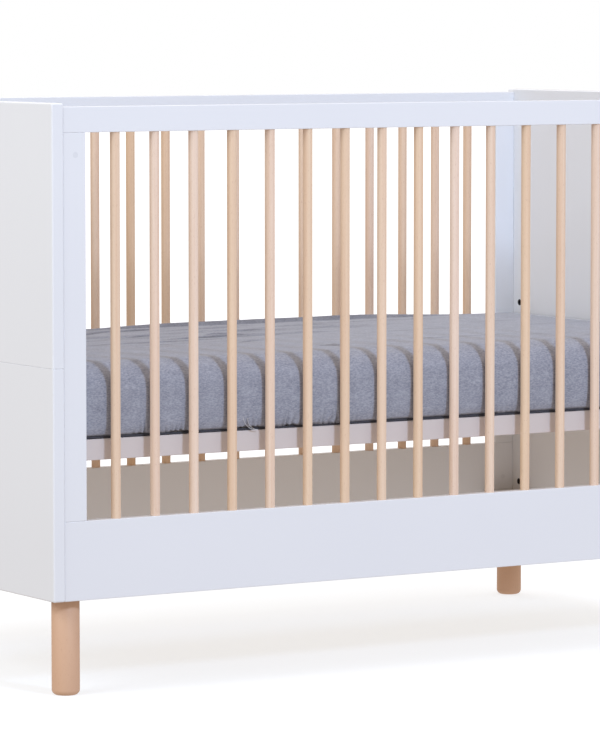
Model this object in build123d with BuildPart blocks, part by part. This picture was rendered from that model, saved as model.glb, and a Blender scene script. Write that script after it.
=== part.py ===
"""Baby crib with panelled ends, round-bar sides, a height-adjustable slatted base and a mattress.

Millimetres. +X runs along the crib, -Y is the front, +Z is up.
The origin is on the floor, under the centre of the crib.
"""
import os
from dataclasses import dataclass

from build123d import *

os.makedirs("parts", exist_ok=True)

# The crib is laid out around its mattress
mattress_length = 1400
mattress_width = 700
end_clearance = 2.5  # base to end panel
side_clearance = 8  # base to side frame

# Ends
panel_thickness = 22
panel_bottom = 161.5
panel_seam = 547  # between the lower and upper end panels
panel_top = 982
panel_edge_radius = 3  # softer than the other boards, except at the seam
edge_radius = 1.2  # eased edge of every lacquered board

# Sides
frame_thickness = 20
frame_setback = 2  # outer face behind the edges of the end panels
rail_height = 42.5
rail_top = 976
stile_width = 42
apron_height = 132
bar_count = 17
bar_pitch = 75
bar_radius = 8.2
bar_socket_depth = 14

# Legs
leg_radius = 23.5
leg_inset = 48  # leg axis to both outer faces of its corner
leg_foot_radius = 9
block_length = 70
block_depth = 66
block_height = 40

# Mattress base
base_bottom = 390
base_height = 35
base_rail_thickness = 20
slat_count = 14
slat_pitch = 97
slat_width = 65
slat_thickness = 12
ledge_width = 10

# Base supports: three rows of sockets, with the pins in the middle row
support_heights = [218, 393, 568]
support_row_in_use = 1
support_setback = 43  # socket axis to the edge of the end panel
pin_radius = 4
pin_reach = 30  # pin inside the crib
pin_grip = 16  # pin inside its socket
pin_travel = 18
bush_radius = 6
bush_length = 18

# Mattress
mattress_thickness = 125
mattress_corner_radius = 36
mattress_edge_radius = 27
sheet_thickness = 1.2
sheet_turn_under = 80
soft_gap = 0.3

# Hardware
fit_gap = 0.1  # radial clearance of a fixed rod in its hole
running_gap = 0.05
dowel_radius = 4
dowel_grip = 25
connector_radius = 3
connector_grip = 12
connector_heights = {"stile": 897, "apron": 227}
barrel_radius = 4.5
barrel_setback = 23  # barrel nut axis to the end panel
barrel_length = 15
cap_thickness = 2
leg_bolt_radius = 4
leg_bolt_grip = 40
insert_radius = 6
insert_length = 25
screw_radius = 1.8
screw_head_radius = 3.6
screw_head_height = 2
screw_length = 28

# Derived places
inner_length = mattress_length + 2 * end_clearance
inner_width = mattress_width + 2 * side_clearance
crib_width = inner_width + 2 * (frame_thickness + frame_setback)
half_length = inner_length / 2
half_width = inner_width / 2
frame_middle = half_width + frame_thickness / 2
panel_middle = half_length + panel_thickness / 2
rail_bottom = rail_top - rail_height
apron_top = panel_bottom + apron_height
stile_middle = half_length - stile_width / 2
leg_x = half_length + panel_thickness - leg_inset
leg_y = crib_width / 2 - leg_inset
support_y = crib_width / 2 - support_setback
base_top = base_bottom + base_height
slat_bottom = base_top - slat_thickness
base_half_length = mattress_length / 2
base_half_width = mattress_width / 2
end_rail_half_length = base_half_width - base_rail_thickness

# Sign of X at each end and of -Y at each side, which is the normal of Plane.XZ
ends = {"left": -1, "right": 1}
sides = {"front": 1, "back": -1}


@dataclass
class Run:
    """Round rods of one size: circles on a plane, drawn out along its normal."""

    plane: Plane
    points: list
    radius: float
    length: float


def fill(run):
    """Adds the rods of a run to the part being built."""
    with BuildSketch(run.plane) as circles:
        with Locations(*run.points):
            Circle(run.radius)
    extrude(circles.sketch, amount=run.length)


def drill(run, gap=fit_gap):
    """Cuts the holes for a run in the part being built."""
    with BuildSketch(run.plane) as circles:
        with Locations(*run.points):
            Circle(run.radius + gap)
    extrude(circles.sketch, amount=run.length, mode=Mode.SUBTRACT)


def finish(piece, name):
    """Names a finished piece and writes it."""
    piece.part.label = name
    export_step(piece.part, f"parts/{name}.step")


def make_board(name, plane, corner, size, thickness, runs=(), radius=edge_radius, seam=None):
    """A board drawn on a plane from its low corner and drilled, its edges eased but tight at a seam."""
    with BuildPart() as board:
        with BuildSketch(plane):
            with Locations(corner):
                Rectangle(*size, align=Align.MIN)
        extrude(amount=thickness)
        if seam is None:
            fillet(board.edges(), radius)
        else:
            fillet(board.edges().filter_by(lambda edge: abs(edge.center().Z - seam) > 0.01), radius)
            fillet(board.edges().filter_by(lambda edge: abs(edge.center().Z - seam) < 0.01), edge_radius)
        for run in runs:
            drill(run)
    finish(board, name)


def make_rods(name, runs, bores=()):
    """Identical rods that share one node, with any bores along them."""
    with BuildPart() as rods:
        for run in runs:
            fill(run)
        for bore in bores:
            drill(bore, running_gap)
    finish(rods, name)


def inner_face(end):
    """The inner face of an end panel, with its normal pointing into the panel."""
    return Plane((end * half_length, 0, 0), x_dir=(0, end, 0), z_dir=(end, 0, 0))


# Rods inside the frame, from which both the holes and the hardware are made

bar_runs = {}
stile_dowel_runs = {}
for side, facing in sides.items():
    bar_y = -facing * frame_middle
    bar_points = [
        ((number - (bar_count - 1) / 2) * bar_pitch, bar_y) for number in range(bar_count)
    ]
    bar_bottom = apron_top - bar_socket_depth
    bar_length = rail_bottom + bar_socket_depth - bar_bottom
    bar_runs[side] = Run(Plane.XY.offset(bar_bottom), bar_points, bar_radius, bar_length)
    stile_dowel_points = [
        (end * stile_middle + across * stile_width / 4, bar_y)
        for end in ends.values()
        for across in (-1, 1)
    ]
    stile_dowel_runs[side] = [
        Run(Plane.XY.offset(joint - dowel_grip), stile_dowel_points, dowel_radius, 2 * dowel_grip)
        for joint in (apron_top, rail_bottom)
    ]

connector_runs = []
barrel_runs = {"stile": [], "apron": []}
cap_runs = {"stile": [], "apron": []}
panel_dowel_runs = []
bush_runs = []
block_dowel_runs = []
for end in ends.values():
    connector_plane = Plane(
        (end * (half_length + connector_grip), 0, 0), x_dir=(0, -end, 0), z_dir=(-end, 0, 0)
    )
    connector_points = [
        (across * frame_middle, height) for across in (-1, 1) for height in connector_heights.values()
    ]
    connector_length = connector_grip + barrel_setback + barrel_radius
    connector_runs.append(Run(connector_plane, connector_points, connector_radius, connector_length))
    panel_dowel_points = [(end * panel_middle, across * crib_width / 3) for across in (-1, 0, 1)]
    panel_dowel_plane = Plane.XY.offset(panel_seam - dowel_grip)
    panel_dowel_runs.append(
        Run(panel_dowel_plane, panel_dowel_points, dowel_radius, 2 * dowel_grip)
    )
    bush_points = [(across * support_y, height) for across in (-1, 1) for height in support_heights]
    bush_runs.append(Run(inner_face(end), bush_points, bush_radius, bush_length))
    block_middle = panel_bottom + block_height / 2
    block_dowel_plane = inner_face(end).offset(-block_height / 2)
    block_dowel_points = [
        (across * (half_width - block_depth + 13), block_middle) for across in (-1, 1)
    ]
    block_dowel_length = block_height / 2 + connector_grip
    block_dowel_runs.append(
        Run(block_dowel_plane, block_dowel_points, dowel_radius, block_dowel_length)
    )

for facing in sides.values():
    # A stile's barrel nut goes in from outside, an apron's from inside
    barrel_x = half_length - barrel_setback
    openings = {
        "stile": (half_width + frame_thickness, -1),
        "apron": (half_width, 1),
    }
    for board, (mouth, inward) in openings.items():
        mouth_points = [(end * facing * inward * barrel_x, connector_heights[board]) for end in (-1, 1)]
        mouth_plane = Plane(
            (0, -facing * mouth, 0), x_dir=(facing * inward, 0, 0), z_dir=(0, -facing * inward, 0)
        )
        cap_runs[board].append(Run(mouth_plane, mouth_points, barrel_radius, cap_thickness))
        barrel_runs[board].append(
            Run(mouth_plane.offset(cap_thickness), mouth_points, barrel_radius, barrel_length)
        )
    block_dowel_plane = Plane(
        (0, -facing * (half_width - block_height / 2), 0), x_dir=(facing, 0, 0), z_dir=(0, -facing, 0)
    )
    block_dowel_points = [
        (end * (half_length - block_length + 13), panel_bottom + block_height / 2) for end in (-1, 1)
    ]
    block_dowel_runs.append(
        Run(block_dowel_plane, block_dowel_points, dowel_radius, block_height / 2 + connector_grip)
    )

leg_points = [(end * leg_x, across * leg_y) for end in (-1, 1) for across in (-1, 1)]
leg_bolt_length = leg_bolt_grip + insert_length + 5
leg_bolt_plane = Plane.XY.offset(panel_bottom - leg_bolt_grip)
leg_bolt_run = Run(leg_bolt_plane, leg_points, leg_bolt_radius, leg_bolt_length)
insert_run = Run(Plane.XY.offset(panel_bottom), leg_points, insert_radius, insert_length)

# End panels, split at the seam so that the upper half comes off for an older child

for name, end in ends.items():
    drillings = connector_runs + panel_dowel_runs + bush_runs + block_dowel_runs
    for half, low, high in (
        ("lower", panel_bottom, panel_seam),
        ("upper", panel_seam, panel_top),
    ):
        make_board(
            f"{name}_{half}_end_panel",
            inner_face(end),
            (-crib_width / 2, low),
            (crib_width, high - low),
            panel_thickness,
            drillings,
            panel_edge_radius,
            panel_seam,
        )

# Side frames between the end panels

for name, facing in sides.items():
    frame_plane = Plane.XZ.offset(facing * half_width)
    depth = facing * frame_thickness
    stile_hardware = stile_dowel_runs[name] + connector_runs + barrel_runs["stile"] + cap_runs["stile"]
    apron_hardware = stile_dowel_runs[name] + connector_runs + barrel_runs["apron"] + cap_runs["apron"]
    make_board(
        f"{name}_top_rail",
        frame_plane,
        (-half_length, rail_bottom),
        (inner_length, rail_height),
        depth,
        stile_dowel_runs[name] + [bar_runs[name]],
    )
    make_board(
        f"{name}_apron",
        frame_plane,
        (-half_length, panel_bottom),
        (inner_length, apron_height),
        depth,
        apron_hardware + block_dowel_runs + [bar_runs[name]],
    )
    for end_name, end in ends.items():
        make_board(
            f"{name}_{end_name}_stile",
            frame_plane,
            (end * stile_middle - stile_width / 2, apron_top),
            (stile_width, rail_bottom - apron_top),
            depth,
            stile_hardware,
        )
    make_rods(f"{name}_bars", [bar_runs[name]])

# Corner blocks and legs

for side, facing in sides.items():
    for end_name, end in ends.items():
        leg_centre = (end * leg_x, -facing * leg_y)

        with BuildPart() as corner_block:
            with BuildSketch(Plane.XY.offset(panel_bottom)):
                block_x = end * (half_length - block_length / 2)
                block_y = -facing * (half_width - block_depth / 2)
                with Locations((block_x, block_y)):
                    Rectangle(block_length, block_depth)
            extrude(amount=block_height)
            for run in block_dowel_runs + [leg_bolt_run, insert_run]:
                drill(run)
        finish(corner_block, f"{side}_{end_name}_corner_block")

        with BuildPart() as leg:
            with BuildSketch():
                with Locations(leg_centre):
                    Circle(leg_radius)
            extrude(amount=panel_bottom)
            fillet(leg.edges().group_by(Axis.Z)[0], leg_foot_radius)
            drill(leg_bolt_run)
        finish(leg, f"{side}_{end_name}_leg")

# Frame hardware

make_rods("end_panel_dowels", panel_dowel_runs)
make_rods("stile_dowels", stile_dowel_runs["front"] + stile_dowel_runs["back"])
make_rods("corner_block_dowels", block_dowel_runs)
make_rods("connector_bolts", connector_runs)
make_rods("barrel_nuts", barrel_runs["stile"] + barrel_runs["apron"], connector_runs)
make_rods("barrel_nut_caps", cap_runs["stile"] + cap_runs["apron"])
make_rods("leg_bolts", [leg_bolt_run])
make_rods("leg_bolt_inserts", [insert_run], [leg_bolt_run])

# Sockets for the support pins: blind bushes, flush with the end panels

pin_bores = [Run(run.plane, run.points, pin_radius, pin_grip) for run in bush_runs]
make_rods("support_sockets", bush_runs, pin_bores)

# Support pins, each in its own node because each one pulls out

for side, facing in sides.items():
    for end_name, end in ends.items():
        pin_height = support_heights[support_row_in_use]
        with BuildPart() as pin:
            with BuildSketch(Plane.YZ.offset(end * (half_length - pin_reach))):
                with Locations((-facing * support_y, pin_height)):
                    Circle(pin_radius)
            extrude(amount=end * (pin_reach + pin_grip))
            chamfer(pin.edges(), 0.8)
        finish(pin, f"{side}_{end_name}_support_pin")

# Mattress base: two long rails, two end rails, a centre beam and slats

slat_x = [(number - (slat_count - 1) / 2) * slat_pitch for number in range(slat_count)]
screw_points = [
    (x, across * (base_half_width - 1.5 * ledge_width)) for x in slat_x for across in (-1, 1)
]
screw_run = Run(Plane.XY.offset(base_top - screw_length), screw_points, screw_radius, screw_length)
screw_head_plane = Plane.XY.offset(base_top - screw_head_height)
screw_head_run = Run(screw_head_plane, screw_points, screw_head_radius, screw_head_height)
base_dowel_runs = []
for facing in sides.values():
    base_dowel_plane = Plane(
        (0, -facing * (end_rail_half_length - dowel_grip), 0), x_dir=(facing, 0, 0), z_dir=(0, -facing, 0)
    )
    base_dowel_points = [
        (end * (base_half_length - base_rail_thickness / 2), base_top - base_height / 2 + 1.5)
        for end in (-1, 1)
    ]
    base_dowel_runs.append(
        Run(base_dowel_plane, base_dowel_points, dowel_radius, dowel_grip + 0.7 * base_rail_thickness)
    )

for side, facing in sides.items():
    with BuildPart() as long_rail:
        with BuildSketch(Plane.XY.offset(base_bottom)):
            with Locations((0, -facing * (base_half_width - base_rail_thickness / 2))):
                Rectangle(mattress_length, base_rail_thickness)
        extrude(amount=base_height)
        fillet(long_rail.edges(), edge_radius)
        # Rebate that carries the slat ends
        with BuildSketch(Plane.XY.offset(slat_bottom)):
            with Locations((0, -facing * (end_rail_half_length + ledge_width / 2))):
                Rectangle(2 * (base_half_length - base_rail_thickness), ledge_width)
        extrude(amount=slat_thickness, mode=Mode.SUBTRACT)
        # Grooves that drop over the support pins
        pin_height = support_heights[support_row_in_use]
        groove_length = pin_reach + pin_travel + 2
        for end in ends.values():
            with BuildSketch(Plane.YZ.offset(end * base_half_length)):
                with Locations((-facing * support_y, pin_height)):
                    Circle(pin_radius + soft_gap)
                    Rectangle(
                        2 * (pin_radius + soft_gap),
                        pin_radius + soft_gap,
                        align=(Align.CENTER, Align.MAX),
                    )
            extrude(amount=-end * groove_length, mode=Mode.SUBTRACT)
        for run in base_dowel_runs + [screw_run]:
            drill(run)
    finish(long_rail, f"base_{side}_rail")

for end_name, end in ends.items():
    with BuildPart() as end_rail:
        with BuildSketch(Plane.XY.offset(base_bottom)):
            with Locations((end * (base_half_length - base_rail_thickness / 2), 0)):
                Rectangle(base_rail_thickness, 2 * end_rail_half_length)
        extrude(amount=base_height)
        fillet(end_rail.edges(), edge_radius)
        for run in base_dowel_runs:
            drill(run)
    finish(end_rail, f"base_{end_name}_rail")

with BuildPart() as centre_beam:
    with BuildSketch(Plane.XY.offset(base_bottom)):
        Rectangle(2 * (base_half_length - base_rail_thickness), base_rail_thickness)
    extrude(amount=base_height - slat_thickness)
finish(centre_beam, "base_centre_beam")

with BuildPart() as slats:
    with BuildSketch(Plane.XY.offset(slat_bottom)):
        with Locations(*[(x, 0) for x in slat_x]):
            Rectangle(slat_width, 2 * (end_rail_half_length + ledge_width))
    extrude(amount=slat_thickness)
    for run in (screw_run, screw_head_run):
        drill(run)
finish(slats, "base_slats")

make_rods("slat_screws", [screw_run, screw_head_run])
make_rods("base_dowels", base_dowel_runs)

# Mattress and its fitted sheet, which turns under all round


def mattress_block(inset):
    """The mattress shape, drawn in from the sheet's outer face by the inset."""
    block_bottom = base_top + soft_gap + inset
    with BuildPart() as block:
        with BuildSketch(Plane.XY.offset(block_bottom)):
            RectangleRounded(
                mattress_length - 2 * (end_clearance + inset),
                mattress_width - 2 * (end_clearance + inset),
                mattress_corner_radius - inset,
            )
        extrude(amount=mattress_thickness - 2 * inset)
        fillet(block.edges().group_by(Axis.Z)[-1], mattress_edge_radius - inset)
        fillet(block.edges().group_by(Axis.Z)[0], mattress_edge_radius / 3 - inset)
    return block


sheet_outside = mattress_block(0)
sheet_inside = mattress_block(sheet_thickness)

with BuildPart() as sheet:
    add(sheet_outside.part)
    add(sheet_inside.part, mode=Mode.SUBTRACT)
    with BuildSketch(Plane.XY.offset(base_top)):
        RectangleRounded(
            mattress_length - 2 * sheet_turn_under,
            mattress_width - 2 * sheet_turn_under,
            mattress_corner_radius,
        )
    extrude(amount=mattress_edge_radius, mode=Mode.SUBTRACT)
finish(sheet, "fitted_sheet")

mattress = mattress_block(sheet_thickness + fit_gap)
finish(mattress, "mattress")
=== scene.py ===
import math
import random

import bmesh
import bpy
from mathutils import Matrix, Vector, noise


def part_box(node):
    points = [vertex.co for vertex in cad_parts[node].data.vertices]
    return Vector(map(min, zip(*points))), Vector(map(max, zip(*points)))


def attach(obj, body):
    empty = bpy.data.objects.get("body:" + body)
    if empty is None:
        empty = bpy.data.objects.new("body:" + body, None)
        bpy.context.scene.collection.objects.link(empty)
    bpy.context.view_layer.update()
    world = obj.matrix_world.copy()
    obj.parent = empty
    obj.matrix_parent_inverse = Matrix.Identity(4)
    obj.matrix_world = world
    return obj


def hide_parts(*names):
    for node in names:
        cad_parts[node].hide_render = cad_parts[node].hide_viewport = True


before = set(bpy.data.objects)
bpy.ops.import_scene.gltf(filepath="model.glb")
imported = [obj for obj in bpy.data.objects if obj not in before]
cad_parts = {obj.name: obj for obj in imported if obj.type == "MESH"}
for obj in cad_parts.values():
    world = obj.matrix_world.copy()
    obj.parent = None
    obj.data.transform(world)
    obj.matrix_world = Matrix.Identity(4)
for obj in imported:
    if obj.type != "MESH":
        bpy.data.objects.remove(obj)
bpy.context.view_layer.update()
crib = {name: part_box(name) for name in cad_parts}
scene = bpy.context.scene


# Shader maths written as expressions

class Wire:
    def __init__(self, tree, socket):
        self.tree = tree
        self.socket = socket

    def math(self, operation, first, second=0.0):
        node = self.tree.nodes.new("ShaderNodeMath")
        node.operation = operation
        plug(self.tree, node.inputs[0], first)
        plug(self.tree, node.inputs[1], second)
        return Wire(self.tree, node.outputs[0])

    def __add__(self, other):
        return self.math("ADD", self, other)

    def __radd__(self, other):
        return self.math("ADD", other, self)

    def __sub__(self, other):
        return self.math("SUBTRACT", self, other)

    def __rsub__(self, other):
        return self.math("SUBTRACT", other, self)

    def __mul__(self, other):
        return self.math("MULTIPLY", self, other)

    def __rmul__(self, other):
        return self.math("MULTIPLY", other, self)

    def __truediv__(self, other):
        return self.math("DIVIDE", self, other)

    def __rtruediv__(self, other):
        return self.math("DIVIDE", other, self)


def plug(tree, socket, value):
    if isinstance(value, Wire):
        tree.links.new(value.socket, socket)
    elif isinstance(value, (tuple, list)) and socket.type == "RGBA":
        socket.default_value = (*value[:3], 1.0)
    else:
        socket.default_value = value


# Every node but plain maths is made here: its type, its settings, then its sockets
def addNode(tree, kind, settings=None, sockets=None, output=0):
    node = tree.nodes.new(kind)
    for name, value in (settings or {}).items():
        if name == "stops":
            ramp = node.color_ramp
            while len(ramp.elements) < len(value):
                ramp.elements.new(0.5)
            for element, (position, level) in zip(ramp.elements, value):
                element.position = position
                element.color = (level, level, level, 1.0)
        else:
            setattr(node, name, value)
    for name, value in (sockets or {}).items():
        plug(tree, node.inputs[name], value)
    return Wire(tree, node.outputs[output])


class Finish:
    def __init__(self, name, **constants):
        self.material = bpy.data.materials.new(name)
        self.material.use_nodes = True
        self.tree = self.material.node_tree
        self.surface = self.tree.nodes["Principled BSDF"]
        self.place = self.node("ShaderNodeTexCoord", output="Object")
        self.paint(**constants)

    def node(self, kind, settings=None, sockets=None, output=0):
        return addNode(self.tree, kind, settings, sockets, output)

    # The place with its scale changed: more across the grain, less along it
    def stretched(self, scale, place=None):
        return self.node("ShaderNodeMapping", None, {"Vector": place or self.place, "Scale": scale}, "Vector")

    # Each board or stick has a number of its own, and this moves its figure by that number
    def shifted(self, number, steps):
        shift = self.node(
            "ShaderNodeCombineXYZ", None, {axis: number * step for axis, step in steps.items()}, "Vector"
        )
        return self.node("ShaderNodeVectorMath", {"operation": "ADD"}, {0: self.place, 1: shift}, "Vector")

    def along(self, axis):
        return self.node("ShaderNodeSeparateXYZ", None, {"Vector": self.place}, axis)

    def noise(self, vector, scale, detail=2.0, roughness=0.5):
        return self.node(
            "ShaderNodeTexNoise", None,
            {"Vector": vector, "Scale": scale, "Detail": detail, "Roughness": roughness}, "Fac",
        )

    def ramp(self, fac, *stops):
        return self.node("ShaderNodeValToRGB", {"stops": stops}, {"Fac": fac}, "Color")

    def mix(self, fac, first, second):
        return self.node("ShaderNodeMix", {"data_type": "RGBA"}, {0: fac, 6: first, 7: second}, 2)

    def paint(self, **values):
        for socket, value in values.items():
            plug(self.tree, self.surface.inputs[socket.replace("_", " ")], value)
        return self.material

    def bump(self, height, strength, distance):
        return self.node(
            "ShaderNodeBump", None, {"Height": height, "Strength": strength, "Distance": distance}, "Normal"
        )


def tinted(colour, tint):
    return tuple(part * share for part, share in zip(colour, tint))


def grained(axis, across, lengthwise):
    scale = [across] * 3
    scale[axis] = lengthwise
    return scale


def dress(material, *nodes):
    for name in nodes:
        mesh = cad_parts[name].data
        mesh.materials.clear()
        mesh.materials.append(material)


def namesWith(*words):
    return [name for name in crib if all(word in name for word in words)]


# White lacquer, on boards whose grain runs one way

lacquer = {
    "colour": (0.80, 0.81, 0.835),
    "deep": (0.77, 0.78, 0.81),
    "roughness": 0.30,
    "peel": 700,  # ripples to the metre in the sprayed coat
    "grainAcross": 260,
    "grainAlong": 5,
    "baseShadeTint": (0.84, 0.75, 0.70),  # painted shade: the base inside the crib is coloured darker and warmer, as the dimmer, warmer light there
}


def whiteLacquer(name, grainAxis=None, tint=(1.0, 1.0, 1.0)):
    finish = Finish(name, IOR=1.5, Specular_IOR_Level=0.45)
    clouds = finish.noise(finish.place, 3.0, 3.0)
    peel = finish.noise(finish.place, lacquer["peel"], 1.0)
    height = peel * 0.4
    if grainAxis is not None:
        scale = grained(grainAxis, lacquer["grainAcross"], lacquer["grainAlong"])
        grain = finish.noise(finish.stretched(scale), 1.0, 4.0, 0.6)
        height = height + grain * 0.8
    colour = finish.mix(clouds, tinted(lacquer["deep"], tint), tinted(lacquer["colour"], tint))
    return finish.paint(
        Base_Color=colour,
        Roughness=clouds * 0.10 + lacquer["roughness"],
        Normal=finish.bump(height, 0.12, 0.0004),
    )


# Beech, turned with its grain along the piece

beech = {
    "pink": (0.88, 0.735, 0.645),
    "yellow": (0.82, 0.625, 0.44),
    "late": (0.66, 0.41, 0.265),
    "fleck": (0.46, 0.26, 0.165),
    "roughness": 0.42,
    "barPitch": 0.075,
    "backShadeTint": (0.97, 0.92, 0.84),  # painted shade: the back bars, seen in shade behind the front bars, are coloured darker and yellower
    "sideStep": 31.7,  # keeps the front bars' numbers apart from the back bars'
    "stickSteps": {"X": 3.0, "Y": 5.0, "Z": 7.0},
    # How fine the figure is, across the grain and along it
    "rings": (150, 1.6),
    "fibres": (900, 14),
    "flecks": (1500, 170),
}


def turnedBeech(name, warmth=0.0, barPitch=None, grainAxis=2, tint=(1.0, 1.0, 1.0)):
    finish = Finish(name, IOR=1.45, Specular_IOR_Level=0.35)
    if barPitch:
        # Each bar is cut from its own stick, so its tone and figure jump from bar to bar
        count = finish.node("ShaderNodeMath", {"operation": "ROUND"}, {0: finish.along("X") / barPitch})
        side = finish.node("ShaderNodeMath", {"operation": "SIGN"}, {0: finish.along("Y")})
        number = count + side * beech["sideStep"]
    else:
        number = float(len(name))
    stick = finish.node("ShaderNodeTexWhiteNoise", {"noise_dimensions": "1D"}, {"W": number}, "Value")
    place = finish.shifted(stick, beech["stickSteps"])
    rings = finish.noise(finish.stretched(grained(grainAxis, *beech["rings"]), place), 1.0, 3.0, 0.55)
    fibres = finish.noise(finish.stretched(grained(grainAxis, *beech["fibres"]), place), 1.0, 3.0, 0.6)
    flecks = finish.noise(finish.stretched(grained(grainAxis, *beech["flecks"]), place), 1.0, 1.0)
    fleckMask = finish.ramp(flecks, (0.0, 0.0), (0.66, 0.0), (0.74, 1.0), (1.0, 1.0))
    tone = finish.mix(stick, tinted(beech["pink"], tint), tinted(beech["yellow"], tint))
    tone = finish.mix(finish.ramp(rings, (0.38, 0.0), (0.72, 1.0)) * 0.5 + warmth, tone, beech["late"])
    tone = finish.mix(fibres * 0.22, tone, beech["late"])
    tone = finish.mix(fleckMask * 0.45, tone, beech["fleck"])
    return finish.paint(
        Base_Color=tone,
        Roughness=fibres * 0.2 + beech["roughness"],
        Normal=finish.bump(fibres * 0.6 - fleckMask * 0.4, 0.25, 0.0003),
    )


whiteAlong = whiteLacquer("whiteLacquerAlong", 0)
whiteUpright = whiteLacquer("whiteLacquerUpright", 2)
# The base rails' lacquer is a painted-shade copy of the white lacquer: darker and warmer
baseAlong = whiteLacquer("baseLacquerAlong", 0, lacquer["baseShadeTint"])
baseDeep = whiteLacquer("baseLacquerDeep", 1, lacquer["baseShadeTint"])
whitePanel = whiteLacquer("whiteLacquerPanel")
dress(whiteAlong, *namesWith("top_rail"), *namesWith("apron"))
dress(baseAlong, "base_front_rail", "base_back_rail")
dress(whiteUpright, *namesWith("stile"))
dress(whitePanel, *namesWith("end_panel"), *namesWith("corner_block"))
dress(baseDeep, "base_left_rail", "base_right_rail")
dress(turnedBeech("barBeech", 0.0, beech["barPitch"]), "front_bars")
# The back bars are a painted-shade copy of the bar beech: darker and yellower
dress(turnedBeech("backBarBeech", 0.08, beech["barPitch"], tint=beech["backShadeTint"]), "back_bars")
dress(turnedBeech("dowelBeech", 0.1), *namesWith("dowels"))


# Slats: planed pine, each board with its own figure

pine = {
    "early": (0.80, 0.62, 0.40),
    "late": (0.60, 0.38, 0.19),
    "knot": (0.30, 0.16, 0.08),
    "slatPitch": 0.097,
    "slatSteps": {"Y": 1.7, "Z": 0.31},
    "figure": (30, 1.2),
    "fibres": (600, 12),
}


def planedPine(name, grainAxis, pitch=None):
    finish = Finish(name, IOR=1.45, Specular_IOR_Level=0.3)
    place = finish.place
    if pitch:
        board = finish.node("ShaderNodeMath", {"operation": "FLOOR"}, {0: finish.along("X") / pitch})
        place = finish.shifted(board, pine["slatSteps"])
    coarse = finish.stretched(grained(grainAxis, *pine["figure"]), place)
    figure = finish.noise(coarse, 1.0, 2.0)
    fibres = finish.noise(finish.stretched(grained(grainAxis, *pine["fibres"]), place), 1.0, 3.0)
    rings = finish.node(
        "ShaderNodeTexWave", {"wave_type": "BANDS", "wave_profile": "SAW"},
        {"Vector": coarse, "Scale": 0.6, "Distortion": 4.0, "Detail": 1.0, "Detail Scale": 0.6}, "Fac",
    )
    tone = finish.mix(rings * 0.55 * figure + fibres * 0.15, pine["early"], pine["late"])
    knots = finish.node(
        "ShaderNodeTexVoronoi", {"feature": "F1"}, {"Vector": place, "Scale": 5.0}, "Distance"
    )
    tone = finish.mix(finish.ramp(knots, (0.030, 1.0), (0.055, 0.0)), tone, pine["knot"])
    return finish.paint(
        Base_Color=tone,
        Roughness=fibres * 0.2 + 0.5,
        Normal=finish.bump(fibres * 0.7 + rings * 0.3, 0.25, 0.0003),
    )


dress(planedPine("slatPine", 1, pine["slatPitch"]), "base_slats")
dress(planedPine("beamPine", 0), "base_centre_beam")


# Fittings

fittings = {"zinc": (0.62, 0.63, 0.64), "socket": (0.028, 0.028, 0.03), "cap": (0.745, 0.755, 0.785)}


def zincPlate(name):
    finish = Finish(name, Metallic=1.0)
    spangle = finish.node(
        "ShaderNodeTexVoronoi", {"feature": "F1"}, {"Vector": finish.place, "Scale": 700.0}, "Color"
    )
    tone = finish.mix(0.06, fittings["zinc"], spangle)
    wear = finish.noise(finish.place, 180.0, 3.0)
    return finish.paint(Base_Color=tone, Roughness=wear * 0.3 + 0.22, Normal=finish.bump(wear, 0.1, 0.0002))


def mouldedPlastic(name, colour, roughness):
    finish = Finish(name, IOR=1.46)
    sparks = finish.noise(finish.place, 2200.0, 2.0)
    clouds = finish.noise(finish.place, 60.0, 2.0)
    tone = finish.mix(clouds * 0.3, colour, tuple(0.82 * part for part in colour))
    return finish.paint(
        Base_Color=tone, Roughness=sparks * 0.12 + roughness, Normal=finish.bump(sparks, 0.15, 0.00015)
    )


dress(
    zincPlate("zincPlate"), "connector_bolts", "barrel_nuts", "leg_bolts", "leg_bolt_inserts", "slat_screws",
    *namesWith("support_pin"),
)
dress(mouldedPlastic("socketPlastic", fittings["socket"], 0.42), "support_sockets")
dress(mouldedPlastic("capPlastic", fittings["cap"], 0.45), "barrel_nut_caps")
print("frame dressed")


# Legs, turned with a soft rounded foot

leg = {
    "tint": (0.77, 0.63, 0.55),
    "warmth": 0.34,
    "footRadius": 0.009,
    "footSteps": 8,
    "topEase": 0.0008,
    "turnSteps": 72,
}


def meshObject(name, shape):
    mesh = bpy.data.meshes.new(name)
    shape.to_mesh(mesh)
    shape.free()
    for face in mesh.polygons:
        face.use_smooth = True
    piece = bpy.data.objects.new(name, mesh)
    scene.collection.objects.link(piece)
    return piece


def turnedLeg(name, low, high):
    centre = (low + high) / 2
    radius = (high.x - low.x) / 2
    shape = bmesh.new()
    profile = [(0.0, low.z)]
    for step in range(leg["footSteps"] + 1):
        angle = math.pi / 2 * step / leg["footSteps"]
        foot = leg["footRadius"]
        profile.append((radius - foot + foot * math.sin(angle), low.z + foot - foot * math.cos(angle)))
    profile += [(radius, high.z - leg["topEase"]), (radius - leg["topEase"], high.z), (0.0, high.z)]
    corners = [shape.verts.new((centre.x + out, centre.y, height)) for out, height in profile]
    lines = [shape.edges.new(pair) for pair in zip(corners, corners[1:])]
    bmesh.ops.spin(
        shape, geom=corners + lines, cent=(centre.x, centre.y, 0), axis=(0, 0, 1), angle=math.tau,
        steps=leg["turnSteps"], use_merge=True,
    )
    bmesh.ops.remove_doubles(shape, verts=shape.verts, dist=1e-5)
    bmesh.ops.recalc_face_normals(shape, faces=shape.faces)
    return meshObject(name, shape)


legBeech = turnedBeech("legBeech", leg["warmth"], tint=leg["tint"])
for node in namesWith("_leg"):
    words = node.split("_")
    piece = turnedLeg(words[0] + words[1].capitalize() + "TurnedLeg", *crib[node])
    piece.data.materials.append(legBeech)
    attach(piece, "crib")
    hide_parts(node)
print("legs turned")

# Mattress: a foam block in its cover, swelled by a cloth simulation

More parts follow.
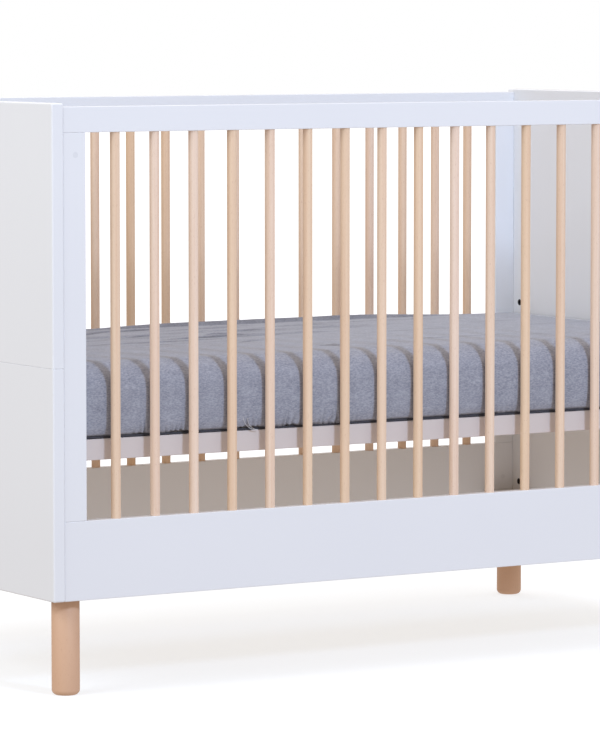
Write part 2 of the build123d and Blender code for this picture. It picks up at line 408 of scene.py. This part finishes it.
mattress = {
    "inset": (0.002, -0.0015, 0.0015),  # how far the block starts inside its space, along X, Y and Z
    "cornerRadius": 0.040,
    "topRadius": 0.034,
    "footRadius": 0.008,
    "voxel": 0.0115,
    "pressure": 4.0,
    "frames": 20,
    "swell": 0.003,
    "footDrop": 0.0008,  # the block starts this far below its space, and is pressed flat on the slats
    "sideBulge": 0.0105,  # the long sides swell out towards the bars
    "sideLimit": 0.3574,
    "bulgeFall": (0.35, 0.45),  # share of the bulge lost towards the ends, and towards the top and foot
    "give": 0.0025,  # how far the foam gives way under the sheet
    "ridgeHeight": 0.0085,  # the back edge stands up where the cover is drawn tight
    "ridgeSetback": 0.050,
    "ridgeRise": 0.010,
    "ridgeMiddle": 0.11,
    "ridgeHalf": 0.37,
    "ridgeFacing": 0.2,  # the ridge lifts what faces up at least this much
    "ticking": ((0.80, 0.80, 0.77), (0.88, 0.88, 0.86)),
}


def bevelEdges(shape, edges, radius, segments):
    bmesh.ops.bevel(
        shape, geom=edges, offset=radius, offset_type="OFFSET", segments=segments,
        profile=0.5, affect="EDGES", clamp_overlap=True, material=-1,
    )


def roundedBlock(low, high, values):
    shape = bmesh.new()
    bmesh.ops.create_cube(shape, size=1.0)
    bmesh.ops.scale(shape, vec=high - low, verts=shape.verts)
    bmesh.ops.translate(shape, vec=(low + high) / 2, verts=shape.verts)
    if "cornerRadius" in values:
        upright = [edge for edge in shape.edges if abs(edge.verts[0].co.z - edge.verts[1].co.z) > 1e-5]
        bevelEdges(shape, upright, values["cornerRadius"], 8)
    for height, radius in ((high.z, values["topRadius"]), (low.z, values["footRadius"])):
        loop = [edge for edge in shape.edges if all(abs(v.co.z - height) < 1e-5 for v in edge.verts)]
        bevelEdges(shape, loop, radius, 6)
    return shape


def bake(piece):
    # The mesh as its modifiers show it replaces the piece's own
    shown = piece.evaluated_get(bpy.context.evaluated_depsgraph_get())
    mesh = bpy.data.meshes.new_from_object(shown)
    piece.modifiers.clear()
    piece.data = mesh
    for face in mesh.polygons:
        face.use_smooth = True


def swell(piece, values):
    remesh = piece.modifiers.new("even", "REMESH")
    remesh.mode = "VOXEL"
    remesh.voxel_size = values["voxel"]
    bake(piece)
    rest = [(vertex.co.copy(), vertex.normal.copy()) for vertex in piece.data.vertices]
    cloth = piece.modifiers.new("cloth", "CLOTH")
    cloth.settings.use_pressure = True
    cloth.settings.uniform_pressure_force = values["pressure"]
    cloth.settings.effector_weights.gravity = 0
    for number in range(1, values["frames"] + 1):
        scene.frame_set(number)
    bake(piece)
    scene.frame_set(1)
    reach = values["swell"]
    for vertex, (start, outward) in zip(piece.data.vertices, rest):
        move = max(0.0, (vertex.co - start).dot(outward))  # it fills out and is never sucked in
        if outward.z < -0.5:
            move = 0.0  # the slats hold the underside flat
        vertex.co = start + outward * (reach * math.tanh(move / reach))


def keepWithin(piece, low, high):
    for vertex in piece.data.vertices:
        for axis in range(3):
            vertex.co[axis] = min(max(vertex.co[axis], low[axis]), high[axis])


def backRidge(place, high):
    along = (place.x - mattress["ridgeMiddle"]) / mattress["ridgeHalf"]
    rise = (place.y - (high.y - mattress["ridgeSetback"])) / mattress["ridgeRise"]
    rise = min(max(rise, 0.0), 1.0)
    return mattress["ridgeHeight"] * math.exp(-(along ** 4)) * rise * rise * (3 - 2 * rise)


def raiseRidge(vertex):
    if vertex.normal.z > mattress["ridgeFacing"]:
        vertex.co.z += backRidge(vertex.co, coreHigh)


def bulgeSides(piece, low, high):
    # A foam side swells most at the middle of its height and its length
    middle = (low.z + high.z) / 2
    fallAlong, fallUp = mattress["bulgeFall"]
    for vertex in piece.data.vertices:
        facing = abs(vertex.normal.y)
        if facing > 0.2:
            up = (vertex.co.z - middle) / (high.z - low.z) * 2
            along = abs(vertex.co.x) / high.x
            bulge = mattress["sideBulge"] * max(0.0, 1 - fallUp * up * up)
            bulge *= (1 - fallAlong * along ** 4) * facing
            vertex.co.y += math.copysign(bulge, vertex.co.y)
            vertex.co.y = math.copysign(min(abs(vertex.co.y), mattress["sideLimit"]), vertex.co.y)


sheet = {
    "thickness": 0.0012,
    "turnUnder": 0.08,
    "room": (0.0008, 0.0111, 0.02),  # how far the cloth may pass the mattress's own space
    # Where the mesh is made finer: left and right, then front and back
    "foldedZone": ((-0.45, 0.42), (-0.28, 1.0)),
    "creasedZone": ((-0.40, 0.10), (-0.10, 0.29)),
    "ridgeZone": ((-0.40, 0.60), (0.285, 1.0)),
    "rim": 0.06,
    "topDepth": 0.006,
    "footDepth": 0.003,
    "softFrom": 0.012,  # the cloth is smoothed above this height
    "gatherBands": (0.034, 0.030),  # heights of the bands above the hem, each finer than the last
    "gatherFront": -0.3,
    # Long folds left by the hand that drew the sheet: start, end, height
    "folds": (
        ((-0.28, 0.033), (-0.05, 0.060), 0.0036),
        ((-0.07, 0.146), (0.03, 0.154), 0.0028),
        ((-0.155, 0.096), (-0.09, 0.098), 0.0022),
        ((-0.195, -0.080), (-0.12, -0.066), 0.0020),
        ((-0.36, 0.200), (-0.25, 0.255), 0.0034),
        ((-0.27, 0.240), (-0.15, 0.262), 0.0034),
        ((-0.32, 0.105), (-0.22, 0.145), 0.0026),
        ((-0.125, -0.232), (-0.055, -0.222), 0.0032),
    ),
    "foldWidth": 0.0042,
    "foldSides": (0.55, 1.6),  # a fold is steep to the front and easy to the back
    "foldFoot": (0.9, 0.8),  # how far in front of it the painted shade is darkest, and how broadly, in widths
    "foldReach": 0.02,
    "foldSway": 0.004,
    "deepFold": 0.0030,  # a fold this high gets the darkest painted shade at its foot
    # Small folds, drawn at random: their ranges of place, length, slope, height and width
    "fineHeight": 0.0018,
    "fineFolds": {
        "count": 46, "across": (-0.60, 0.15), "deep": (-0.10, 0.30, 0.20), "length": (0.08, 0.30),
        "slope": (0.02, 0.16), "height": (0.4, 1.0), "width": (0.8, 1.6),
    },
    "strayFolds": {
        "count": 14, "across": (-0.60, 0.50), "deep": (-0.30, 0.30), "length": (0.10, 0.35),
        "slope": (-0.05, 0.12), "height": (0.3, 0.7), "width": (1.2, 2.2),
    },
    "uneven": (0.0007, 0.0010),  # slow unevenness of foam and cloth, on the top and on the sides
    "creaseShade": 0.62,  # how far the painted shade darkens the cloth down in a fold, in a pleat, on the ridge and at the hem
    # Places along the front where the elastic gathers the cloth: middle, half length, depth
    "gathers": (
        (-0.54, 0.02, 0.7), (-0.47, 0.03, 1.0), (-0.335, 0.02, 0.8), (-0.25, 0.028, 1.0),
        (-0.17, 0.035, 0.9), (0.19, 0.03, 0.4), (0.45, 0.04, 0.5),
    ),
    "gatherPitch": 0.0105,
    "gatherDepth": 0.0040,
    "gatherHeight": 0.024,
    "gatherLean": 0.25,
    # How unevenly the pleats are spaced, how deep and how tall they are, and how fast that changes
    "gatherSpacing": (4.0, 45),
    "gatherDeepness": (0.55, 0.9, 55),
    "gatherTallness": (0.6, 40),
    "ridgeShade": 0.62,
    "ridgeProbe": 0.004,
    "hemHeight": 0.0035,
    "hemShade": 1.0,
    # The elastic hem, a gathered roll that peeks out under the foot of the mattress, its colour painted dark
    # as the shade under the mattress; its corners are square
    "hem": {
        "topRadius": 0.0019, "footRadius": 0.0019, "height": 0.0038, "out": 0.0006,
        "shade": 1.5, "pleatPitch": 0.0035, "pleatDepth": 0.0011, "pleatScale": 260,
    },
    # Loose overlock threads at the hem: where each hangs from, and the radius of its curl
    "threads": (((-0.347, -0.3562, 0.4535), 0.028), ((-0.3375, -0.3566, 0.4465), 0.0205)),
    "threadRadius": 0.00045,
    "threadSteps": 14,
    "seed": 11,
}

coreLow, coreHigh = crib["mattress"]
skinLow, skinHigh = crib["fitted_sheet"]
inset = Vector(mattress["inset"])
blockLow = coreLow + inset
blockLow.z = coreLow.z - mattress["footDrop"]
core = meshObject("mattressCore", roundedBlock(blockLow, coreHigh - inset, mattress))
swell(core, mattress)
bulgeSides(core, coreLow, coreHigh)
room = Vector(sheet["room"])
clothLow = Vector((skinLow.x - room.x, skinLow.y - room.y, skinLow.z))
clothHigh = skinHigh + room
lift = Vector((sheet["thickness"],) * 3)
keepWithin(core, clothLow + lift, clothHigh - lift)
print("mattress swelled")


def within(place, zone):
    (left, right), (front, back) = zone
    return left < place.x < right and front < place.y < back


def subdivideWhere(shape, test, onlyAcross=False):
    edges = []
    for edge in shape.edges:
        if all(test(vertex) for vertex in edge.verts):
            run = edge.verts[1].co - edge.verts[0].co
            if not onlyAcross or abs(run.y) > 0.8 * run.length:
                edges.append(edge)
    bmesh.ops.subdivide_edges(shape, edges=edges, cuts=1, use_grid_fill=True)


def drawnCover(piece):
    # A skin over the mattress, open underneath, and finer where it folds
    shape = bmesh.new()
    shape.from_mesh(piece.data)
    reach = Vector((skinHigh.x - sheet["turnUnder"], skinHigh.y - sheet["turnUnder"]))
    under = [
        face for face in shape.faces
        if face.normal.z < -0.9 and abs(face.calc_center_median().x) < reach.x
        and abs(face.calc_center_median().y) < reach.y
    ]
    bmesh.ops.delete(shape, geom=under, context="FACES")
    foot = skinLow.z + sheet["footDepth"]
    top = skinHigh.z - sheet["topDepth"]
    rim = skinHigh - Vector((sheet["rim"],) * 3)
    subdivideWhere(shape, lambda v: v.co.z > foot and (
        abs(v.co.x) > rim.x or abs(v.co.y) > rim.y or within(v.co, sheet["foldedZone"])
    ))
    shape.normal_update()
    soft = [v for v in shape.verts if v.co.z > skinLow.z + sheet["softFrom"] and not v.is_boundary]
    for _ in range(2):
        bmesh.ops.smooth_vert(
            shape, verts=soft, factor=0.5, use_axis_x=True, use_axis_y=True, use_axis_z=True
        )
    shape.normal_update()
    for vertex in shape.verts:
        vertex.co += vertex.normal * sheet["thickness"]
        raiseRidge(vertex)
    subdivideWhere(shape, lambda v: v.co.z > top and within(v.co, sheet["creasedZone"]), True)
    subdivideWhere(shape, lambda v: v.co.z > top and within(v.co, sheet["ridgeZone"]), True)
    for band in sheet["gatherBands"]:
        subdivideWhere(shape, lambda v: v.co.y < sheet["gatherFront"] and foot < v.co.z < skinLow.z + band)
    return shape


def fold(across, width):
    front, back = sheet["foldSides"]
    side = front if across < 0 else back
    return math.exp(-((across / (side * width)) ** 2))


def smallFold(draw, start, values):
    length = draw.uniform(*values["length"])
    end = start + Vector((length, length * draw.uniform(*values["slope"])))
    height = sheet["fineHeight"] * draw.uniform(*values["height"])
    return start, end, height, sheet["foldWidth"] * draw.uniform(*values["width"])


def allFolds():
    draw = random.Random(sheet["seed"])
    fine, stray = sheet["fineFolds"], sheet["strayFolds"]
    width = sheet["foldWidth"]
    folds = [(Vector(start), Vector(end), height, width) for start, end, height in sheet["folds"]]
    for _ in range(fine["count"]):
        start = Vector((draw.uniform(*fine["across"]), draw.triangular(*fine["deep"])))
        folds.append(smallFold(draw, start, fine))
    for _ in range(stray["count"]):
        start = Vector((draw.uniform(*stray["across"]), draw.uniform(*stray["deep"])))
        folds.append(smallFold(draw, start, stray))
    return folds


def foldsAt(place, folds):
    # How far the folds lift the cloth here, and how much shade is painted at their feet
    spot = place.xy
    footAway, footWidth = sheet["foldFoot"]
    rise = 0.0
    dark = 0.0
    for start, end, height, width in folds:
        if not start.x - sheet["foldReach"] < place.x < end.x + sheet["foldReach"]:
            continue
        run = end - start
        along = (spot - start).dot(run) / run.length_squared
        if not 0.0 < along < 1.0:
            continue
        across = (run.x * (spot.y - start.y) - run.y * (spot.x - start.x)) / run.length
        across -= sheet["foldSway"] * math.sin(along * 5.0 + start.x * 40)
        if -3 * width < across < 6 * width:
            fade = math.sin(along * math.pi) ** 0.7
            rise += height * fold(across, width) * fade
            foot = (across + footAway * width) / (footWidth * width)
            dark = max(dark, min(1.0, height / sheet["deepFold"]) * fade * math.exp(-(foot * foot)))
    return rise, dark


def gathersAt(place, height):
    # Pleats of uneven height and depth above the hem, leaning a little, with painted shade in their hollows
    sway, swayPace = sheet["gatherSpacing"]
    shallow, deeper, deepPace = sheet["gatherDeepness"]
    short, tallPace = sheet["gatherTallness"]
    rise = 0.0
    dark = 0.0
    for middle, half, depth in sheet["gathers"]:
        along = (place.x - sheet["gatherLean"] * height - middle) / half
        if abs(along) < 1.6:
            wave = math.sin(math.tau * place.x / sheet["gatherPitch"] + sway * noise.noise(place * swayPace))
            wave *= shallow + deeper * abs(noise.noise(Vector((place.x * deepPace, 7, 0))))
            tall = sheet["gatherHeight"] * (short + abs(noise.noise(Vector((place.x * tallPace, 0, 5)))))
            fade = depth * math.exp(-(along ** 2)) * math.exp(-((height / tall) ** 2))
            rise += sheet["gatherDepth"] * fade * wave
            dark = max(dark, fade * max(0.0, -wave) * 0.9)
    return rise, dark


# Painted shade on the front slope of the back ridge, darker where the slope is steeper
def ridgeShadeAt(place):
    step = Vector((0, sheet["ridgeProbe"], 0))
    slope = backRidge(place + step, coreHigh) - backRidge(place - step, coreHigh)
    return sheet["ridgeShade"] * min(1.0, slope / step.y)


# Lifts the cloth in folds, pleats and unevenness, and stores painted shade at fold feet, in pleat hollows, on
# the ridge's front slope and along the hem
def creaseSheet(shape):
    shade = shape.verts.layers.float.new("crease")
    folds = allFolds()
    unevenTop, unevenSide = sheet["uneven"]
    shape.normal_update()
    for vertex in shape.verts:
        place = vertex.co.copy()
        height = place.z - skinLow.z
        onTop = vertex.normal.z > 0.5
        rise, dark = foldsAt(place, folds) if onTop else (0.0, 0.0)
        uneven = noise.noise(Vector((place.x * 4.0, place.y * 10.0, place.z * 12.0)))
        rise += (unevenTop if onTop else unevenSide) * uneven
        if place.y < sheet["gatherFront"] and height < 3 * sheet["gatherHeight"]:
            pleat, pleatShade = gathersAt(place, height)
            rise += pleat
            dark = max(dark, pleatShade)
        if vertex.normal.z > mattress["ridgeFacing"]:
            dark = max(dark, ridgeShadeAt(place))
        if height < sheet["hemHeight"]:
            dark = max(dark, sheet["hemShade"])  # painted shade: the hem is turned under, out of the light
        vertex.co = place + vertex.normal * rise
        vertex[shade] = dark


def gatheredHem(name):
    values = sheet["hem"]
    out = Vector((0, values["out"], 0))
    high = Vector((skinHigh.x, skinHigh.y, skinLow.z + values["height"]))
    roll = roundedBlock(skinLow - out, high + out, values)
    broad = [face for face in roll.faces if abs(face.normal.z) > 0.99 and face.calc_area() > 0.1]
    bmesh.ops.delete(roll, geom=broad, context="FACES")
    bmesh.ops.bridge_loops(roll, edges=[edge for edge in roll.edges if edge.is_boundary])
    for axis in (0, 1):
        long = [edge for edge in roll.edges if abs(edge.verts[1].co[axis] - edge.verts[0].co[axis]) > 0.1]
        cuts = int(long[0].calc_length() / values["pleatPitch"])
        bmesh.ops.subdivide_edges(roll, edges=long, cuts=cuts, use_grid_fill=True)
    bmesh.ops.recalc_face_normals(roll, faces=roll.faces)
    shade = roll.verts.layers.float.new("crease")
    for vertex in roll.verts:
        pleat = noise.noise(Vector((vertex.co.x, vertex.co.y, 0)) * values["pleatScale"])
        vertex.co += Vector((vertex.normal.x, vertex.normal.y, 0)) * values["pleatDepth"] * pleat
        # the whole roll is painted dark, as shade
        vertex[shade] = values["shade"]
    return meshObject(name, roll)


def hangThreads(shape):
    shade = shape.verts.layers.float["crease"]
    cloth = set(shape.verts)
    for start, curl in sheet["threads"]:
        ring = bmesh.ops.create_circle(
            shape, cap_ends=True, radius=sheet["threadRadius"], segments=6, matrix=Matrix.Translation(start)
        )["verts"]
        edges = {edge for vertex in ring for edge in vertex.link_edges}
        faces = {face for vertex in ring for face in vertex.link_faces}
        centre = Vector(start) + Vector((curl, 0, 0))
        bmesh.ops.spin(
            shape, geom=[*ring, *edges, *faces], cent=centre, axis=(0, 1, 0), angle=-math.pi / 2,
            steps=sheet["threadSteps"], use_merge=False,
        )
    for vertex in shape.verts:
        if vertex not in cloth:
            vertex[shade] = -1.0


cover = drawnCover(core)
creaseSheet(cover)
hangThreads(cover)
fitted = meshObject("fittedSheet", cover)
hem = gatheredHem("elasticHemInPaintedShade")
keepWithin(fitted, clothLow, clothHigh)
print("sheet drawn over the mattress,", len(fitted.data.polygons), "faces")


def giveWay(piece):
    # The foam gives way a little where the sheet is gathered over it
    shape = bmesh.new()
    shape.from_mesh(piece.data)
    shape.normal_update()
    for vertex in shape.verts:
        if vertex.normal.z > -0.7:
            vertex.co -= vertex.normal * mattress["give"]
            raiseRidge(vertex)
    shape.to_mesh(piece.data)
    shape.free()


giveWay(core)

jersey = {
    "pale": (0.410, 0.420, 0.475),
    "dark": (0.195, 0.203, 0.252),
    "bright": (0.60, 0.605, 0.645),
    "thread": (0.62, 0.61, 0.61),
    "fold": (0.050, 0.048, 0.057),  # painted shade colour, down in a fold
    "roughness": 0.9,
    "wales": 900,  # knitted columns to the metre
}


def melangeJersey(name):
    finish = Finish(
        name, Roughness=jersey["roughness"], Specular_IOR_Level=0.12, Sheen_Weight=0.15, Sheen_Roughness=0.5
    )
    blotches = finish.noise(finish.stretched((30, 45, 60)), 1.0, 3.0, 0.55)
    fibres = finish.noise(finish.stretched((210, 420, 520)), 1.0, 3.0, 0.6)
    flecks = finish.noise(finish.stretched((700, 900, 1000)), 1.0, 2.0, 0.6)
    blend = finish.ramp(blotches * 0.26 + fibres * 0.76, (0.30, 0.0), (0.70, 1.0))
    colour = finish.mix(blend, jersey["dark"], jersey["pale"])
    colour = finish.mix(finish.ramp(flecks, (0.58, 0.0), (0.72, 1.0)) * 0.40, colour, jersey["bright"])
    crease = finish.node("ShaderNodeAttribute", {"attribute_name": "crease"}, None, "Fac")
    # painted shade: the cloth is darkened towards the fold colour where the attribute is positive
    colour = finish.mix(crease * sheet["creaseShade"], colour, jersey["fold"])
    colour = finish.mix(finish.ramp(crease * -1.0, (0.4, 0.0), (0.6, 1.0)), colour, jersey["thread"])
    knit = finish.node(
        "ShaderNodeTexWave", {"wave_type": "BANDS", "bands_direction": "X"},
        {"Vector": finish.place, "Scale": jersey["wales"] / 20, "Distortion": 0.6, "Detail": 1.0}, "Fac",
    )
    return finish.paint(
        Base_Color=colour, Normal=finish.bump(fibres * 0.6 + knit * 0.3 + blotches * 0.2, 0.30, 0.0006)
    )


def wovenTicking(name):
    finish = Finish(name, Roughness=0.85)
    weave = finish.node("ShaderNodeTexBrick", None, {"Vector": finish.place, "Scale": 180.0}, "Fac")
    tone = finish.mix(finish.noise(finish.place, 12.0), *mattress["ticking"])
    return finish.paint(Base_Color=tone, Normal=finish.bump(weave, 0.3, 0.0004))


core.data.materials.append(wovenTicking("coverTicking"))
fitted.data.materials.append(melangeJersey("melangeJersey"))
hem.data.materials.append(fitted.data.materials[0])
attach(core, "mattress")
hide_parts("mattress")
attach(fitted, "mattress")
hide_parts("fitted_sheet")
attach(hem, "mattress")
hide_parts("fitted_sheet")

# Camera

camera = {"lens": 211.66, "place": (-4.1887, -6.6991, 1.1286), "pan": -31.95, "tilt": -4.693}
lensData = bpy.data.cameras.new("camera")
lensData.lens = camera["lens"]
lensData.sensor_width = 36
lensData.clip_end = 100
viewer = bpy.data.objects.new("camera", lensData)
viewer.location = camera["place"]
viewer.rotation_euler = (math.radians(90 + camera["tilt"]), 0, math.radians(camera["pan"]))
scene.collection.objects.link(viewer)
scene.camera = viewer

# Studio

studio = {
    "floorSize": 60,
    "floorColour": (0.342, 0.36, 0.382),
    "floorGlow": 0.68,
    "floorFar": 1.0,  # the paper behind the crib glows to white
    "surround": 0.64,
    "surroundColour": (1.0, 0.922, 0.878),
    # Each lamp: its bearing and height in degrees, its distance, size and power
    "lamps": {
        "key": (4, 28, 6.0, 0.9, 161, (0.57, 0.73, 1.0)),
        "left": (-80, 29, 5.0, 3.0, 101, (0.82, 0.92, 1.0)),
        "top": (40, 82, 4.5, 3.5, 43, (1.0, 0.94, 0.86)),
        "right": (98, 22, 5.0, 3.5, 24, (0.92, 0.96, 1.0)),
        "back": (168, 42, 5.0, 3.5, 42, (1.0, 0.98, 0.96)),
    },
    "aim": (0, 0, 0.5),
}


def studioLight(name, bearing, height, distance, diameter, power, colour):
    light = bpy.data.lights.new(name, "AREA")
    light.shape = "DISK"
    light.size = diameter
    light.energy = power
    light.color = colour
    lamp = bpy.data.objects.new(name, light)
    turn = math.radians(bearing)
    rise = math.radians(height)
    direction = Vector((math.sin(turn) * math.cos(rise), -math.cos(turn) * math.cos(rise), math.sin(rise)))
    lamp.location = Vector(studio["aim"]) + direction * distance
    lamp.rotation_euler = direction.to_track_quat("Z", "Y").to_euler()
    scene.collection.objects.link(lamp)


for lampName, settings in studio["lamps"].items():
    studioLight(lampName, *settings)

floorMesh = bmesh.new()
bmesh.ops.create_grid(floorMesh, x_segments=1, y_segments=1, size=studio["floorSize"] / 2)
floor = meshObject("floor", floorMesh)
floorFinish = Finish("floorPaper", Base_Color=studio["floorColour"], Roughness=0.9, Emission_Strength=1.0)
away = floorFinish.node("ShaderNodeVectorMath", {"operation": "LENGTH"}, {0: floorFinish.place}, "Value")
glow = floorFinish.ramp(away * 0.1, (0.22, studio["floorGlow"]), (0.42, studio["floorFar"]))
floorFinish.paint(Emission_Color=glow)
floor.data.materials.append(floorFinish.material)
floor.visible_diffuse = False  # the paper glows for the lens alone, so the crib is lit by the lamps
floor.visible_glossy = False

world = bpy.data.worlds.new("studio")
world.use_nodes = True
scene.world = world
sky = world.node_tree
surround = [studio["surround"] * part for part in studio["surroundColour"]]
seen = addNode(sky, "ShaderNodeLightPath", output="Is Camera Ray")
backdrop = addNode(sky, "ShaderNodeMix", {"data_type": "RGBA"}, {0: seen, 6: surround, 7: (1.0, 1.0, 1.0)}, 2)
plug(sky, sky.nodes["Background"].inputs["Color"], backdrop)
scene.view_settings.view_transform = "Standard"
print("studio set")
